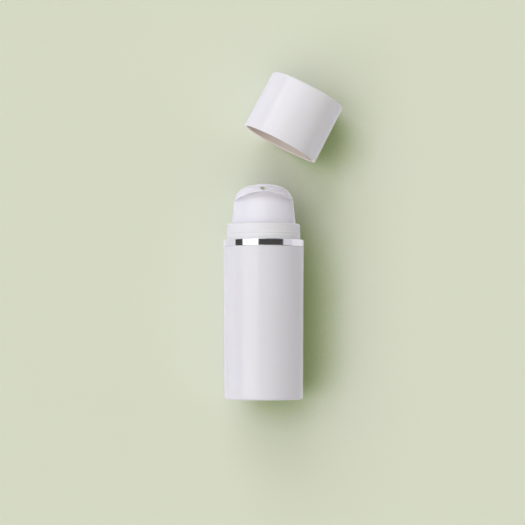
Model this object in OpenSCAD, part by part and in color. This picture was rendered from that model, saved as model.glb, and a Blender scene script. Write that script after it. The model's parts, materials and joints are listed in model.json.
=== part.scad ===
// Airless pump bottle for lotion, lying on its side with its cap taken off.
// Each piece is drawn upright on the bottle's axis, with its front toward -Y,
// and is laid down at the end, so that the axis runs along +Y and the front faces +Z.
// The origin is the centre of the bottle's base.

/* [Body] */
// Outside diameter of the body at its shoulder
body_d = 35; // [31:0.5:60]
// Height of the body from its base to its shoulder
body_h = 66.7; // [60:0.1:150]
// How much the body narrows on each side toward its base
body_draft = 0.3; // [0:0.05:0.6]
// Wall of the body at its shoulder
body_wall = 2.1; // [1.6:0.1:3]
// Radius of the rounded edge round the base
base_round = 1; // [0.3:0.1:1.4]
// Thickness of the shoulder
shoulder_t = 1.8; // [1.2:0.1:3]
// Height of the neck above the shoulder
neck_h = 4.9; // [4:0.1:5.2]
// Wall of the neck
neck_wall = 1.6; // [1.2:0.1:2.2]

/* [Base plug] */
// How far the plug sits inside the base rim
plug_recess = 0.8; // [0.3:0.1:2]
// Height of the plug
plug_h = 4.2; // [3.4:0.1:8]
// Thickness of the plug's floor
plug_floor_t = 1.4; // [0.8:0.1:2]
// Wall of the plug's skirt
plug_wall = 1.4; // [0.8:0.1:2]
// Diameter of the air vent in the plug
vent_d = 1.6; // [0.8:0.1:3]

/* [Follower] */
// Height of the follower
follower_h = 14.2; // [12:0.1:24]
// Depth of the well that takes the foot of the pump
well_depth = 10.2; // [6:0.1:11]
// Wall of the follower
follower_wall = 1; // [0.7:0.1:1.6]

/* [Ring and collar] */
// Height of the bright ring
ring_h = 3; // [2.5:0.1:6]
// How far the collar stands inside the body's side
collar_inset = 1.45; // [1.2:0.05:2.5]
// Height of the collar above the ring
collar_h = 7; // [6:0.1:10]
// Wall of the collar's lower tier
collar_wall = 1.75; // [1.3:0.05:2.2]
// How much smaller in radius the collar's upper tier is
tier_step = 0.15; // [0:0.05:0.4]
// Height of the bead between the tiers, above the ring
bead_z = 3.3; // [2:0.1:4]

/* [Pump] */
// Travel of the head
stroke = 4.2; // [2.5:0.1:4.3]
// Inside diameter of the pump chamber
chamber_d = 10; // [9:0.1:11]
// Wall of the pump chamber
chamber_wall = 1.2; // [0.8:0.1:1.4]
// Outside diameter of the stem
stem_d = 5.2; // [4.6:0.1:5.6]
// Diameter of the bore through the stem
stem_bore_d = 2.8; // [2:0.1:3]
// Diameter of the valve ball
ball_d = 3.2; // [2.6:0.1:3.6]
// Lift of the valve ball
ball_lift = 0.7; // [0.4:0.1:0.8]
// Slip of the piston on the stem, which opens the outlet
piston_slip = 0.8; // [0.4:0.1:1]
// Diameter of the spring's wire
wire_d = 0.7; // [0.5:0.05:0.8]
// Mean diameter of the spring's turns
spring_d = 7.2; // [6.4:0.1:8]
// Number of turns in the spring
spring_turns = 4.5; // [3:0.5:6]

/* [Head] */
// Height of the head above the collar
head_h = 17.7; // [16:0.1:24]
// Lean of the head's side, in degrees
head_lean = 6.5; // [3:0.5:9]
// Radius of the round between the head's side and its crown
head_round = 8; // [5:0.5:9]
// Radius of the crown
crown_r = 24; // [20:0.5:40]
// Wall of the head
head_wall = 1.2; // [0.9:0.05:1.5]
// How far the visor's edge lies below the crown, at its middle
visor_drop = 3.7; // [3.2:0.1:5]
// Radius of the arch along the visor's edge
visor_arch_r = 21; // [17:0.5:40]
// Lean of the front under the visor, in degrees
front_lean = 16; // [10:0.5:18]
// Diameter of the orifice
orifice_d = 3; // [1.5:0.1:3.4]
// Diameter of the channel from the stem to the orifice
channel_d = 2; // [1:0.1:2.4]

/* [Cap] */
// Gap between the head and the inside of the closed cap
cap_head_gap = 1.1; // [0.5:0.1:4]
// Thickness of the cap's top
cap_top_t = 1.3; // [0.8:0.1:2.5]
// Radius of the rounded edge round the cap's top
cap_round = 1.1; // [0.5:0.1:2]
// How much the cap narrows on each side toward its top
cap_draft = 0.3; // [0:0.05:0.6]

/* [Cap taken off] */
// Distance of the cap's mouth from its closed place, across the bottle
cap_off_x = 7.1; // [4:0.1:12]
// Distance of the cap's mouth from its closed place, along the bottle
cap_off_y = 42.35; // [36:0.05:60]
// Turn of the cap as it lies, in degrees
cap_turn = 27.6; // [20:0.1:35]

/* [Hidden] */
$fn = 96;

// Clearances
fit_gap = 0.05;
running_gap = 0.1;
guide_gap = 0.15;
head_gap = 0.25;
ring_gap = 0.15;
stop_gap = 0.3;
swing_gap = 0.3;

// How far a cut or a joined shape runs past its face, and a length past everything
over = 1;
far = 60;

// Small chamfers and rounds that several pieces share
lead = 0.5;
soft_edge = 0.3;

// Body, neck and plug
body_r = body_d / 2;
base_r = body_r - body_draft;
bore_r = body_r - body_wall;
shoulder_z = body_h;
plug_top = plug_recess + plug_h;
plug_r = bore_r - fit_gap;
plug_bead = 0.2;
plug_bead_h = 1;
plug_bead_z = plug_recess + plug_floor_t + plug_bead_h;
plug_groove = 0.35;
plug_groove_h = 1.4;
plug_groove_flat = 0.4;
plug_rib_t = 0.9;
plug_rib_h = 1.7;
hub_r = 2.5;
vent_r = 5.8;
gate_ring_r = 9.2;
gate_ring_w = 0.8;
gate_ring_depth = 0.4;
inner_corner = 1;

// Ring and collar
ring_top = shoulder_z + ring_h;
ring_foot_t = 0.6;
ring_edge = 0.25;
collar_r = body_r - collar_inset;
collar_top_r = collar_r - tier_step;
collar_in_r = collar_r - collar_wall;
collar_bottom = shoulder_z + ring_foot_t + fit_gap;
collar_top = ring_top + collar_h;
collar_edge = 0.6;
bead_r = 0.35;
waist_r = 0.62;
waist_depth = 0.12;
waist_z = bead_z - 2.6 * bead_r;
web_t = 1;

// Closure on the neck, worked inward from the head's skirt
skirt_r = collar_in_r - head_gap;
skirt_room = 2.15;
closure_r = skirt_r - skirt_room;
closure_wall = 1.1;
closure_web = 1;
closure_chamfer = 0.8;
snap = 0.4;
snap_h = 2;
snap_drop = 0.6;
hook_h = 1.1;
finger_slots = 6;
finger_slot_w = 1.4;
finger_slot_rise = 1;
neck_r = closure_r - closure_wall - snap - running_gap;
neck_bore_r = neck_r - neck_wall;
neck_top = shoulder_z + neck_h;
gasket_t = 0.8;
flange_t = 1;
flange_top = neck_top + gasket_t + flange_t;
closure_top = flange_top + closure_web;
closure_bottom = shoulder_z + running_gap;
closure_foot_t = 0.9;
collar_web_bottom = closure_bottom + closure_foot_t + fit_gap;

// Stem guide
guide_plug_h = 1.2;
guide_flange_t = 0.8;
guide_rim = 2.4;
guide_flange_r = chamber_d / 2 + guide_rim;
chimney_wall = 1.5;
chimney_h = 0.85;
stem_r = stem_d / 2;
guide_bore_r = stem_r + guide_gap;
chimney_r = guide_bore_r + chimney_wall;
guide_bottom = flange_top - guide_plug_h;
hood_bottom = flange_top + guide_flange_t + fit_gap;
hood_t = 0.8;
hood_r = guide_flange_r + running_gap + hood_t;
hood_hole_r = chimney_r + 2 * running_gap;
hood_top = hood_bottom + hood_t;
chimney_top = hood_top + chimney_h;

// Moving stack inside the chamber, from the top down
chamber_r = chamber_d / 2;
stem_bore_r = stem_bore_d / 2;
stem_flange_rim = 1;
stem_flange_r = stem_r + stem_flange_rim;
stem_flange_t = 1;
stem_flange_top = guide_bottom - running_gap;
stem_flange_bottom = stem_flange_top - stem_flange_t;
sleeve_h = 1.8;
sleeve_top = stem_flange_bottom - piston_slip - fit_gap;
sleeve_bottom = sleeve_top - sleeve_h;
sleeve_wall = 0.65;
sleeve_web = 0.9;
seal_lip = 0.2;
seal_t = 0.4;
seal_reach = 0.9;
seat_t = 1.2;
seat_top = sleeve_bottom - fit_gap;
seat_rim = 1.3;
seat_r = min(stem_r + seat_rim, chamber_r - fit_gap - seal_t - running_gap);
seat_chamfer = 0.5;
stem_foot_rise = 1.1;
stem_foot = seat_top + stem_foot_rise;
rod_grip = 6;
flute_w = 0.9;
flute_r = 0.55;
spring_top = seat_top - seat_t;
spring_solid_l = (spring_turns + 1) * wire_d;
spring_reserve = 0.15;
spring_l = stroke + spring_solid_l + spring_reserve;
spring_bottom = spring_top - spring_l;
spigot_gap = 0.35;
spigot_r = spring_d / 2 - wire_d / 2 - spigot_gap;
spigot_h = 1.2;

// Inlet valve, from the retainer down
ball_r = ball_d / 2;
retainer_h = 2;
retainer_bridge_t = 0.8;
retainer_wall = 1.8;
retainer_r = chamber_r - fit_gap;
slot_w = 1;
slot_r = 2.5;
chamber_floor = spring_bottom - retainer_h;
ball_z = chamber_floor + retainer_h - retainer_bridge_t - ball_lift - fit_gap - ball_r;
inlet_r = 1;
foot_r = 2.6;
pocket_room = 0.4;
pocket_r = ball_r + pocket_room;
pocket_wall = 1.2;
seat_cone_z = ball_z - sqrt(2) * (ball_r + fit_gap);
inlet_l = 1.2;
foot_notch_w = 1.2;
foot_notch_h = 0.6;
housing_r = chamber_r + chamber_wall;
housing_bottom = seat_cone_z + inlet_r - inlet_l;
flange_plug_h = 0.6;
flange_plug_gap = 0.3;
lightening_in = 0.9;
lightening_out = 1.2;

// Follower at the bottom of its travel, with the bottle full
follower_z = plug_top + stop_gap;
follower_top = follower_z + follower_h;
follower_r = bore_r - running_gap;
lip = 0.6;
lip_h = 2.2;
lip_land = 0.6;
lip_t = 0.5;
lip_groove = 1.9;
lip_root = 0.7;
lip_groove_w = 0.8;
crown_drop = 0.3;
crown_t = 2.7;
follower_ribs = 8;
follower_rib_t = 0.8;
follower_rib_h = 3.4;
well_room = 1.2;
well_r = housing_r + well_room;
well_floor = follower_top - crown_drop - well_depth;
follower_travel = min(
    housing_bottom - stop_gap - well_floor,
    shoulder_z - shoulder_t - stop_gap - follower_top
);
echo(follower_travel = follower_travel);

// Head
head_base = collar_top;
head_top = collar_top + head_h;
skirt_depth = 1.7;
skirt_bottom = collar_top - skirt_depth;
crown_z = head_top - crown_r;
socket_wall = 1.3;
socket_bottom = chimney_top + stroke + stop_gap;
socket_depth = 6.2;
stem_top = socket_bottom + socket_depth;
channel_rise = 0.8;
channel_z = stem_top + channel_rise;
orifice_drop = 1.8;
orifice_y = -sqrt(pow(crown_r, 2) - pow(crown_r - orifice_drop, 2));
orifice_z = head_top - orifice_drop;
orifice_tilt = 55;
orifice_depth = 1.5;
channel_tilt = atan2(orifice_z - orifice_depth * sin(orifice_tilt) - channel_z,
    -orifice_y - orifice_depth * cos(orifice_tilt));
channel_l = norm([orifice_z - channel_z, orifice_y]);
nozzle_wall = 1.1;
head_ribs = 6;
rib_t = 0.9;
rib_reach = 1;

// The head's outline: a leaning side, a round and the crown, each tangent to the next
side_start = [skirt_r, head_base];
round_from_axis = crown_r - head_round;
side_in = side_start - head_round * [cos(head_lean), sin(head_lean)] - [0, crown_z];
side_up = [-sin(head_lean), cos(head_lean)];
side_run = -side_in * side_up + sqrt(pow(side_in * side_up, 2) - side_in * side_in + pow(round_from_axis, 2));
round_centre = side_in + [0, crown_z] + side_run * side_up;
round_tilt = atan2(round_centre[0], round_centre[1] - crown_z);

// The front under the visor is a cone that leans back
cone_rim = 0.35;
cone_r = skirt_r + cone_rim;
cone_slope = 0.095;
cone_l = 30;
visor_back = 3;
cone_z = head_base - cone_r * sin(front_lean);
visor_z = head_top - visor_drop;
front_rake = front_lean + atan(cone_slope);
visor_back_y = (visor_z - head_base) * tan(front_rake) - cone_r * cos(front_lean) + head_wall / cos(front_rake);

// Cap, drawn closed on the collar
cap_bottom = ring_top + running_gap;
cap_top = head_top + cap_head_gap + cap_top_t;
cap_in_r = collar_r + swing_gap;
cap_step = 0.25;
cap_step_z = collar_top + cap_step;
cap_upper_r = cap_in_r - cap_step;
cap_bore_draft = 0.3;
cap_corner = 0.8;
grip_gap = 0.08;
grip_r = collar_top_r + grip_gap;
grip_rise = 4.6;
grip_z = cap_bottom + grip_rise;
grip_h = 1.2;
grip_slope = 0.4;

// The point about which the closed cap turns into its place on the table
pull_det = 2 * (1 - cos(cap_turn));
cap_pole = [
    (cap_off_x * (1 - cos(cap_turn)) + cap_off_y * sin(cap_turn)) / pull_det,
    cap_bottom - (cap_off_x * sin(cap_turn) - cap_off_y * (1 - cos(cap_turn))) / pull_det
];
echo(cap_pole = cap_pole);

// Places a piece that is drawn upright: the axis goes to +Y and the front to +Z
module laid_down() {
    rotate([-90, 0, 0]) children();
}

// Turns an outline of radii and heights about the axis
module turned() {
    rotate_extrude() children();
}

// A band of an outline between two radii and two heights
module band(r1, r2, z1, z2) {
    translate([r1, z1]) square([r2 - r1, z2 - z1]);
}

// What comes off the outer corner of an outline at radius r and height z; up is 1 for a top edge
module edge_off(r, z, radius, up = 1) {
    difference() {
        translate([r - radius, up > 0 ? z - radius : z - over]) square([radius + over, radius + over]);
        translate([r - radius, z - up * radius]) circle(radius);
    }
}

module bottle_body() {
    laid_down() color([0.9, 0.9, 0.91]) turned() difference() {
        union() {
            polygon([[0, 0], [base_r, 0], [body_r, shoulder_z], [0, shoulder_z]]);
            band(0, neck_r, shoulder_z - over, neck_top);
            translate([neck_r, neck_top - snap_drop]) polygon([
                [0, -snap_h], [snap, -0.7 * snap_h], [snap, -0.4 * snap_h], [0, 0]
            ]);
        }
        polygon([
            [0, -over], [bore_r + lead, -over], [bore_r + lead, 0], [bore_r, lead],
            [bore_r, shoulder_z - shoulder_t - inner_corner],
            [bore_r - inner_corner, shoulder_z - shoulder_t], [0, shoulder_z - shoulder_t]
        ]);
        band(-over, neck_bore_r, shoulder_z - shoulder_t - over, neck_top + over);
        translate([plug_r, plug_bead_z]) polygon([
            [0, -plug_groove_h / 2], [plug_groove, -plug_groove_flat / 2],
            [plug_groove, plug_groove_flat / 2], [0, plug_groove_h / 2]
        ]);
        edge_off(base_r, 0, base_round, -1);
        edge_off(body_r, shoulder_z, soft_edge);
    }
}

module base_plug() {
    rib_l = plug_r - plug_wall / 2 - hub_r;
    laid_down() color([0.86, 0.86, 0.87]) difference() {
        union() {
            turned() {
                band(0, plug_r, plug_recess, plug_recess + plug_floor_t);
                band(plug_r - plug_wall, plug_r, plug_recess, plug_top);
                translate([plug_r, plug_bead_z]) polygon([
                    [-plug_bead, -plug_bead_h / 2], [0, -plug_bead_h / 2], [plug_bead, 0],
                    [0, plug_bead_h / 2], [-plug_bead, plug_bead_h / 2]
                ]);
            }
            for (turn = [0:60:300]) rotate([0, 0, turn])
                translate([hub_r, -plug_rib_t / 2, plug_recess + plug_floor_t / 2])
                    cube([rib_l, plug_rib_t, plug_floor_t / 2 + plug_rib_h]);
        }
        turned() translate([gate_ring_r, plug_recess - over]) square([gate_ring_w, over + gate_ring_depth]);
        rotate([0, 0, 30]) translate([vent_r, 0, 0]) cylinder(h = plug_top, d = vent_d);
    }
}

module follower_piston() {
    wall_r = follower_r - lip;
    inner_r = wall_r - follower_wall;
    plate = follower_top - crown_drop;
    groove = follower_top - lip_groove;
    groove_r = wall_r - lip_root;
    well_out_r = well_r + follower_wall;
    crown_bottom = plate - crown_t;
    laid_down() color([0.93, 0.93, 0.9]) {
        turned() polygon([
            [follower_r - lip_t - soft_edge, follower_z], [follower_r, follower_z],
            [follower_r, follower_z + lip_land], [wall_r, follower_z + lip_h],
            [wall_r, follower_top - lip_h], [follower_r, follower_top - lip_land],
            [follower_r, follower_top],
            [follower_r - lip_t, follower_top], [groove_r, groove], [groove_r - lip_groove_w, groove],
            [groove_r - lip_groove_w - lip_root, plate], [well_r, plate], [well_r, well_floor],
            [0, well_floor], [0, well_floor - follower_wall], [well_out_r, well_floor - follower_wall],
            [well_out_r, crown_bottom], [inner_r, crown_bottom], [inner_r, follower_z + lip_h]
        ]);
        for (rib = [1:follower_ribs]) rotate([0, 0, 360 * rib / follower_ribs])
            translate([well_r + follower_wall / 2, -follower_rib_t / 2, crown_bottom - follower_rib_h])
                cube([inner_r - well_r, follower_rib_t, follower_rib_h + crown_t / 2]);
    }
}

module silver_ring() {
    laid_down() color([0.78, 0.79, 0.8]) turned() difference() {
        union() {
            band(collar_r + ring_gap, body_r, shoulder_z, ring_top);
            band(collar_in_r, collar_r + over, shoulder_z, shoulder_z + ring_foot_t);
        }
        edge_off(body_r, ring_top, ring_edge);
        edge_off(body_r, shoulder_z, ring_edge, -1);
    }
}

module collar() {
    bead_top = ring_top + bead_z;
    laid_down() color([0.91, 0.91, 0.92]) turned() difference() {
        union() {
            band(collar_in_r, collar_r, collar_bottom, bead_top - bead_r);
            translate([collar_r - bead_r, bead_top - bead_r]) circle(bead_r);
            band(collar_in_r, collar_top_r, bead_top - 2 * bead_r, collar_top);
            band(closure_r + running_gap, collar_in_r + over, collar_web_bottom, collar_web_bottom + web_t);
        }
        translate([collar_r - waist_depth + waist_r, ring_top + waist_z]) circle(waist_r);
        edge_off(collar_top_r, collar_top, collar_edge);
        translate([collar_in_r, collar_top]) polygon([
            [-over, -soft_edge], [0, -soft_edge], [soft_edge, 0], [soft_edge, over], [-over, over]
        ]);
    }
}

module neck_closure() {
    skirt_in_r = closure_r - closure_wall;
    hook_top = neck_top - snap_drop - snap_h - stop_gap;
    foot_r_out = collar_in_r - guide_gap;
    laid_down() color([0.82, 0.84, 0.86]) difference() {
        turned() {
            polygon([
                [skirt_in_r, closure_bottom], [closure_r, closure_bottom],
                [closure_r, closure_top - closure_chamfer], [closure_r - closure_chamfer, closure_top],
                [hood_r, closure_top], [hood_r, hood_top], [hood_hole_r, hood_top],
                [hood_hole_r, hood_bottom], [guide_flange_r + running_gap, hood_bottom],
                [guide_flange_r + running_gap, flange_top + fit_gap], [skirt_in_r, flange_top + fit_gap],
                [skirt_in_r, hook_top], [neck_r + fit_gap, hook_top - soft_edge],
                [skirt_in_r, hook_top - hook_h]
            ]);
            band(closure_r - closure_wall / 2, foot_r_out, closure_bottom, closure_bottom + closure_foot_t);
        }
        for (slot = [1:finger_slots]) rotate([0, 0, 360 * slot / finger_slots])
            translate([0, -finger_slot_w / 2, closure_bottom - over])
                cube([collar_r, finger_slot_w, hook_top + finger_slot_rise - closure_bottom + over]);
    }
}

module neck_gasket() {
    laid_down() color([0.55, 0.57, 0.6]) turned() band(neck_bore_r, neck_r, neck_top, neck_top + gasket_t);
}

module pump_housing() {
    pocket_out_r = pocket_r + pocket_wall;
    laid_down() color([0.88, 0.9, 0.92]) difference() {
        turned() difference() {
            union() {
                band(0, neck_r, neck_top + gasket_t, flange_top);
                band(0, neck_bore_r - flange_plug_gap, neck_top - flange_plug_h, flange_top);
                polygon([
                    [0, housing_bottom], [foot_r, housing_bottom], [foot_r, seat_cone_z + inlet_r],
                    [pocket_out_r, seat_cone_z + pocket_r], [pocket_out_r, chamber_floor - chamber_wall],
                    [housing_r, chamber_floor], [housing_r, flange_top], [0, flange_top]
                ]);
            }
            band(-over, inlet_r, housing_bottom - over, flange_top);
            polygon([
                [0, seat_cone_z], [pocket_r, seat_cone_z + pocket_r], [pocket_r, chamber_floor],
                [chamber_r, chamber_floor], [chamber_r, flange_top - soft_edge],
                [chamber_r + soft_edge, flange_top], [chamber_r + soft_edge, flange_top + over],
                [0, flange_top + over]
            ]);
            band(housing_r + lightening_in, neck_bore_r - lightening_out, neck_top - over, flange_top - flange_t);
        }
        for (turn = [0, 90]) rotate([0, 0, turn])
            translate([-foot_r - over, -foot_notch_w / 2, housing_bottom - over])
                cube([2 * (foot_r + over), foot_notch_w, over + foot_notch_h]);
    }
}

module valve_ball() {
    laid_down() color([0.75, 0.76, 0.78]) translate([0, 0, ball_z]) sphere(ball_r);
}

module valve_retainer() {
    laid_down() color([0.8, 0.85, 0.9]) difference() {
        turned() {
            band(retainer_r - retainer_wall, retainer_r, chamber_floor, spring_bottom);
            band(0, retainer_r - retainer_wall / 2, spring_bottom - retainer_bridge_t, spring_bottom);
        }
        translate([0, 0, chamber_floor]) cylinder(h = far, r = inlet_r);
        for (turn = [0:120:240]) rotate([0, 0, turn])
            translate([0, -slot_w / 2, chamber_floor]) cube([slot_r, slot_w, far]);
    }
}

// Points of a round wire that climbs in steady turns from z1 to z2
spring_steps = 8;
wire_sides = 6;
function spring_centre(k, r, z1, z2, count) =
    let (turn = 360 * k / spring_steps)
    [r * cos(turn), r * sin(turn), z1 + (z2 - z1) * k / count];
function wire_ring(k, r, z1, z2, count) =
    let (turn = 360 * k / spring_steps, centre = spring_centre(k, r, z1, z2, count))
    [for (side = [0:wire_sides - 1])
        let (a = 360 * side / wire_sides)
        centre + wire_d / 2 * [cos(a) * cos(turn), cos(a) * sin(turn), sin(a)]];

module return_spring() {
    count = spring_turns * spring_steps;
    r = spring_d / 2;
    z1 = spring_bottom + wire_d / 2 + fit_gap;
    z2 = spring_top - wire_d / 2 - fit_gap;
    rings = [for (k = [0:count]) each wire_ring(k, r, z1, z2, count)];
    sides = [for (k = [0:count - 1], side = [0:wire_sides - 1])
        let (next = (side + 1) % wire_sides, low = k * wire_sides, high = low + wire_sides)
        each [[low + side, low + next, high + side], [low + next, high + next, high + side]]];
    first = [for (side = [1:wire_sides - 2]) [0, side + 1, side]];
    last_ring = count * wire_sides;
    last = [for (side = [1:wire_sides - 2]) [last_ring, last_ring + side, last_ring + side + 1]];
    centres = [for (k = [0:count]) spring_centre(k, r, z1, z2, count)];
    echo(spring_self_gap = min([for (k = [0:count], other = [k + spring_steps / 2:count])
        norm(centres[k] - centres[other])]) - wire_d);
    laid_down() color([0.7, 0.71, 0.73]) polyhedron(points = rings, faces = concat(sides, first, last));
}

module piston_rod() {
    rod_r = stem_bore_r - fit_gap;
    rod_top = stem_flange_top + rod_grip;
    laid_down() color([0.84, 0.87, 0.92]) difference() {
        turned() polygon([
            [0, spring_top - spigot_h], [spigot_r - lead, spring_top - spigot_h],
            [spigot_r, spring_top - spigot_h + lead], [spigot_r, spring_top], [seat_r, spring_top],
            [seat_r, seat_top - seat_chamfer], [seat_r - seat_chamfer, seat_top], [rod_r, seat_top],
            [rod_r, rod_top - lead], [rod_r - lead, rod_top], [0, rod_top]
        ]);
        for (turn = [0:120:240]) rotate([0, 0, turn])
            translate([flute_r, -flute_w / 2, seat_top]) cube([stem_r, flute_w, far]);
    }
}

module pump_piston() {
    in_r = stem_r + fit_gap;
    sleeve_r = in_r + sleeve_wall;
    seal_r = chamber_r - fit_gap;
    wall_r = seal_r - seal_lip;
    root_r = seal_r - 2 * seal_t;
    middle = (sleeve_top + sleeve_bottom) / 2;
    web_low = middle - sleeve_web / 2;
    web_high = middle + sleeve_web / 2;
    low = sleeve_bottom - seal_reach;
    high = sleeve_top + seal_reach;
    laid_down() color([0.95, 0.93, 0.86]) turned() polygon([
        [in_r, sleeve_bottom], [sleeve_r, sleeve_bottom], [sleeve_r, web_low], [root_r, web_low],
        [seal_r - seal_t, low], [seal_r, low], [wall_r, middle - 2 * seal_t],
        [wall_r, middle + 2 * seal_t], [seal_r, high], [seal_r - seal_t, high],
        [root_r, web_high], [sleeve_r, web_high], [sleeve_r, sleeve_top], [in_r, sleeve_top]
    ]);
}

module pump_stem() {
    laid_down() color([0.9, 0.92, 0.95]) turned() difference() {
        union() {
            band(0, stem_r, stem_foot, stem_top);
            band(0, stem_flange_r, stem_flange_bottom, stem_flange_top);
        }
        band(-over, stem_bore_r, stem_foot - over, stem_top + over);
        translate([stem_r, stem_top]) polygon([
            [-lead, 0], [0, -lead], [over, -lead], [over, over], [-lead, over]
        ]);
    }
}

module stem_guide() {
    laid_down() color([0.86, 0.88, 0.9]) turned() difference() {
        union() {
            band(guide_bore_r, chamber_r - fit_gap, guide_bottom, flange_top + guide_flange_t);
            band(guide_bore_r, guide_flange_r, flange_top + fit_gap, flange_top + guide_flange_t);
            band(guide_bore_r, chimney_r, flange_top, chimney_top);
        }
        edge_off(chimney_r, chimney_top, soft_edge);
    }
}

// The head's outline, drawn inward by inset
module head_outline(inset = 0) {
    side_out = [cos(head_lean), sin(head_lean)];
    crown_out = [sin(round_tilt), cos(round_tilt)];
    reach = 2 * head_round;
    difference() {
        intersection() {
            polygon([
                [0, skirt_bottom - 2 * inset], [skirt_r - inset, skirt_bottom - 2 * inset],
                [skirt_r - inset, head_base],
                [skirt_r - inset, head_base] + 2 * head_h * side_up, [0, head_base + 2 * head_h]
            ]);
            translate([0, crown_z]) circle(crown_r - inset);
        }
        difference() {
            polygon([
                round_centre, round_centre + reach * side_out,
                round_centre + reach * (side_out + crown_out), round_centre + reach * crown_out
            ]);
            translate(round_centre) circle(head_round - inset);
        }
    }
}

// The leaning cone whose front shows under the visor
module front_cone(inset = 0) {
    translate([0, 0, cone_z]) rotate([-front_lean, 0, 0]) translate([0, 0, -cone_l / 2])
        cylinder(h = 1.5 * cone_l, r1 = cone_r - inset + cone_slope * cone_l / 2,
            r2 = cone_r - inset - cone_slope * cone_l);
}

// Everything under the arch of the visor, in front of the leaning cone
module visor_cut() {
    difference() {
        translate([0, visor_back, 0]) rotate([90, 0, 0]) linear_extrude(far / 2) intersection() {
            translate([0, visor_z - visor_arch_r]) circle(visor_arch_r);
            translate([-far / 2, skirt_bottom - over]) square([far, far]);
        }
        front_cone();
    }
}

// The hollow under the crown: it follows the outside at the thickness of the wall, and ends
// above the front in a plane, so that the visor is solid and the mould can draw downward
module head_cavity() {
    difference() {
        turned() head_outline(head_wall);
        difference() {
            translate([-far / 2, visor_back - far / 2, skirt_bottom - over])
                cube([far, far / 2, visor_z - skirt_bottom + over]);
            front_cone(head_wall);
        }
        translate([-far / 2, visor_back_y - far, visor_z - lead]) cube(far);
    }
}

// Socket for the stem, the block that holds the channel, and the ribs that stiffen the crown
module head_core() {
    block_w = channel_d + 2 * nozzle_wall;
    translate([0, 0, socket_bottom]) cylinder(h = far, r = stem_r + socket_wall);
    translate([-block_w / 2, -far, channel_z - block_w / 2]) cube([block_w, far, far]);
    for (rib = [1:head_ribs - 1]) rotate([0, 0, 360 * rib / head_ribs - 90])
        translate([0, -rib_t / 2, channel_z - rib_reach]) cube([far, rib_t, far]);
}

module head_passages() {
    translate([0, 0, socket_bottom - over]) cylinder(h = socket_depth + over + fit_gap, r = stem_r + fit_gap);
    translate([0, 0, stem_top - over]) cylinder(h = channel_rise + over, r = stem_bore_r);
    translate([0, 0, channel_z]) rotate([90 - channel_tilt, 0, 0])
        cylinder(h = channel_l - orifice_depth / 2, r = channel_d / 2);
    translate([0, orifice_y, orifice_z]) rotate([90 - orifice_tilt, 0, 0])
        translate([0, 0, -orifice_depth]) cylinder(h = orifice_depth + visor_drop, r = orifice_d / 2);
}

module actuator() {
    laid_down() color([0.93, 0.93, 0.95]) difference() {
        turned() head_outline();
        visor_cut();
        difference() {
            head_cavity();
            head_core();
        }
        head_passages();
    }
}

module cap_closed() {
    laid_down() color([0.91, 0.9, 0.92]) turned() difference() {
        polygon([[0, cap_bottom], [body_r, cap_bottom], [body_r - cap_draft, cap_top], [0, cap_top]]);
        difference() {
            polygon([
                [0, cap_bottom - over], [cap_in_r + soft_edge, cap_bottom - over],
                [cap_in_r + soft_edge, cap_bottom], [cap_in_r, cap_bottom + lead], [cap_in_r, cap_step_z],
                [cap_upper_r, cap_step_z + cap_step],
                [cap_upper_r - cap_bore_draft, cap_top - cap_top_t - cap_corner],
                [cap_upper_r - cap_bore_draft - cap_corner, cap_top - cap_top_t],
                [0, cap_top - cap_top_t]
            ]);
            translate([cap_in_r, grip_z]) polygon([
                [over, -grip_slope], [0, -grip_slope], [grip_r - cap_in_r, 0], [grip_r - cap_in_r, grip_h],
                [0, grip_h + grip_slope], [over, grip_h + grip_slope]
            ]);
        }
        edge_off(body_r, cap_bottom, ring_edge, -1);
        edge_off(body_r - cap_draft, cap_top, cap_round);
    }
}

module cap() {
    translate(cap_pole) rotate([0, 0, -cap_turn]) translate(-cap_pole) cap_closed();
}

bottle_body();
base_plug();
follower_piston();
silver_ring();
collar();
neck_closure();
neck_gasket();
pump_housing();
valve_ball();
valve_retainer();
return_spring();
piston_rod();
pump_piston();
pump_stem();
stem_guide();
actuator();
cap();
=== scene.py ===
"""Looks of an airless pump bottle that lies on a pale table with its cap taken off.

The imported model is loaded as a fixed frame. Each outer shell is turned or lofted here again in
the frame's own sizes, so that its edges are rounded as the moulded ones are. The pieces inside
keep their meshes and get their finishes. Sizes are in millimetres until a mesh is written. The
bottle lies along +Y, and the front of its head faces +Z.
"""

import json
import logging
import math
from collections.abc import Callable
from dataclasses import dataclass, field
from enum import Enum

import bpy
from mathutils import Matrix, Vector

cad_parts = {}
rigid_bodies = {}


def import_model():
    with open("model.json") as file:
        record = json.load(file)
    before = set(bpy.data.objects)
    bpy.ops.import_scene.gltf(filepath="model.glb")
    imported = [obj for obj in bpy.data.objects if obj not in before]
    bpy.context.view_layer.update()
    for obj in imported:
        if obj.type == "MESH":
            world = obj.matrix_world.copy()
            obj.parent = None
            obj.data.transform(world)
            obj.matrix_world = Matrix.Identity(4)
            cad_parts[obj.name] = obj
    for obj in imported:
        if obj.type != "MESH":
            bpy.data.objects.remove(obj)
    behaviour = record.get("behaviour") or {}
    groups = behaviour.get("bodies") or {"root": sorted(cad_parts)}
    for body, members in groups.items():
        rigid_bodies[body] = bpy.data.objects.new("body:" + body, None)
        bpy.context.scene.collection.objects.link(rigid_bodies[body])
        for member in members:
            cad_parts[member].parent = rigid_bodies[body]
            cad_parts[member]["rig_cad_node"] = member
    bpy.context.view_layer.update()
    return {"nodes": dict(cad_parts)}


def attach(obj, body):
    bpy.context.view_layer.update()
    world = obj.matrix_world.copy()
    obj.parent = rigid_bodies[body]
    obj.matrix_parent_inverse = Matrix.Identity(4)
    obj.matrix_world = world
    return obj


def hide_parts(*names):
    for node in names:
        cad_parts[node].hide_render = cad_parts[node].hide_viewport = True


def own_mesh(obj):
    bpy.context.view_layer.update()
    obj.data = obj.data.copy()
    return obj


log = logging.getLogger("airless_bottle")

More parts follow.
